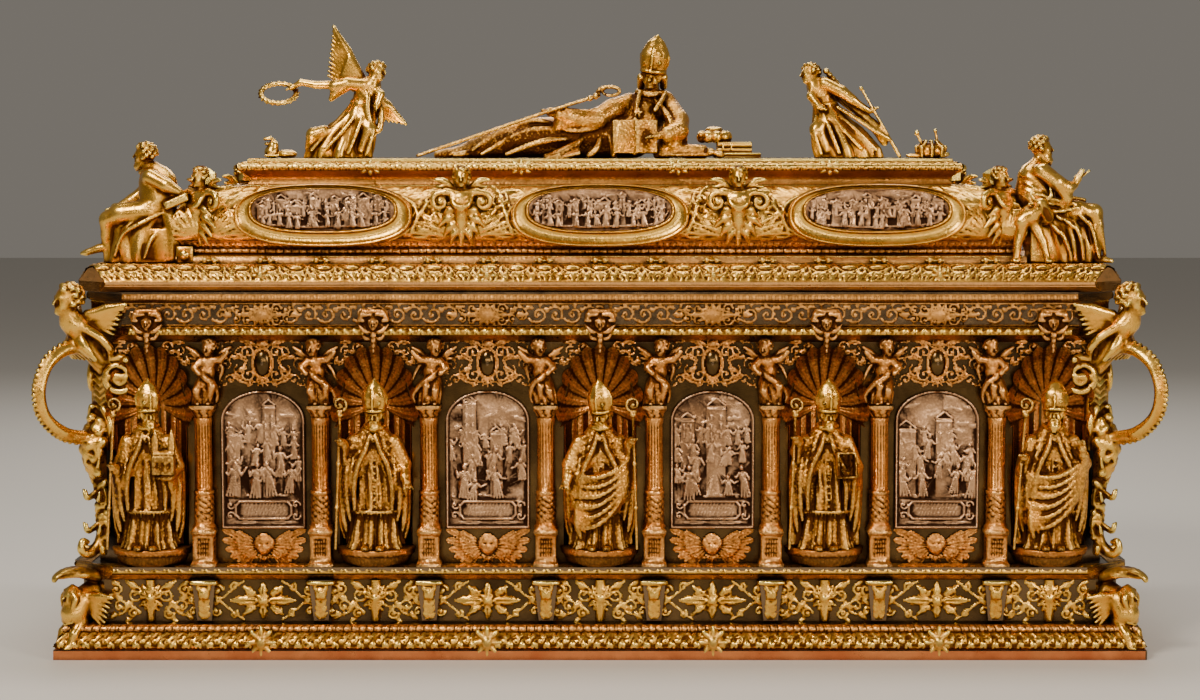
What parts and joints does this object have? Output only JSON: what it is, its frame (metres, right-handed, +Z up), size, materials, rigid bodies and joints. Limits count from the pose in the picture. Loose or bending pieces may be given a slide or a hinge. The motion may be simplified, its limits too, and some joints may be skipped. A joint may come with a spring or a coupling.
{
  "type": "reliquary casket",
  "caption": "Long gilded reliquary casket with niches for standing bishops, relief panels, columns, corner handles, and a lift-off lid that carries a lying bishop.",
  "frame": {"origin": "on the ground under the middle of the casket", "axes": "+Z up, +X along the length, front towards -Y"},
  "size_m": [1.518, 0.618, 0.8713],
  "materials": {
    "gold": "bright gilding, polished, worn on the edges",
    "red_gold": "reddish gilding over chased sheet",
    "silver_relief": "chased silver with a warm tarnish",
    "dark_plate": "polished plate with dark patina between gilded mounts"
  },
  "bodies": {
    "root": {"plinth": "red_gold", "case": "dark_plate", "cornice": "gold", "lid": "gold", "lid_slab": "gold", "column_1": "red_gold", "column_2": "red_gold", "column_3": "red_gold", "column_4": "red_gold", "column_5": "red_gold", "column_6": "red_gold", "column_7": "red_gold", "column_8": "red_gold", "putto_1": "red_gold", "putto_2": "red_gold", "putto_3": "red_gold", "putto_4": "red_gold", "putto_5": "red_gold", "putto_6": "red_gold", "putto_7": "red_gold", "putto_8": "red_gold", "bishop_front_1": "gold", "bishop_front_2": "gold", "bishop_front_3": "gold", "bishop_front_4": "gold", "bishop_front_5": "gold", "bishop_back_1": "gold", "bishop_back_2": "gold", "bishop_back_3": "gold", "bishop_back_4": "gold", "bishop_back_5": "gold", "relief_panel_1": "silver_relief", "relief_panel_2": "silver_relief", "relief_panel_3": "silver_relief", "relief_panel_4": "silver_relief", "evangelist_front_left": "gold", "evangelist_front_right": "gold", "lying_bishop": "gold", "hat_on_books": "gold", "angel_with_wreath": "gold", "angel_with_staff": "gold", "trophy_left": "gold", "trophy_right": "gold", "corner_bracket_back_right": "gold", "foot_harpy_back_right": "gold", "corner_bracket_back_left": "gold", "foot_harpy_back_left": "gold", "corner_bracket_front_right": "gold", "foot_harpy_front_right": "gold", "corner_bracket_front_left": "gold", "foot_harpy_front_left": "gold"}
  },
  "joints": []
}
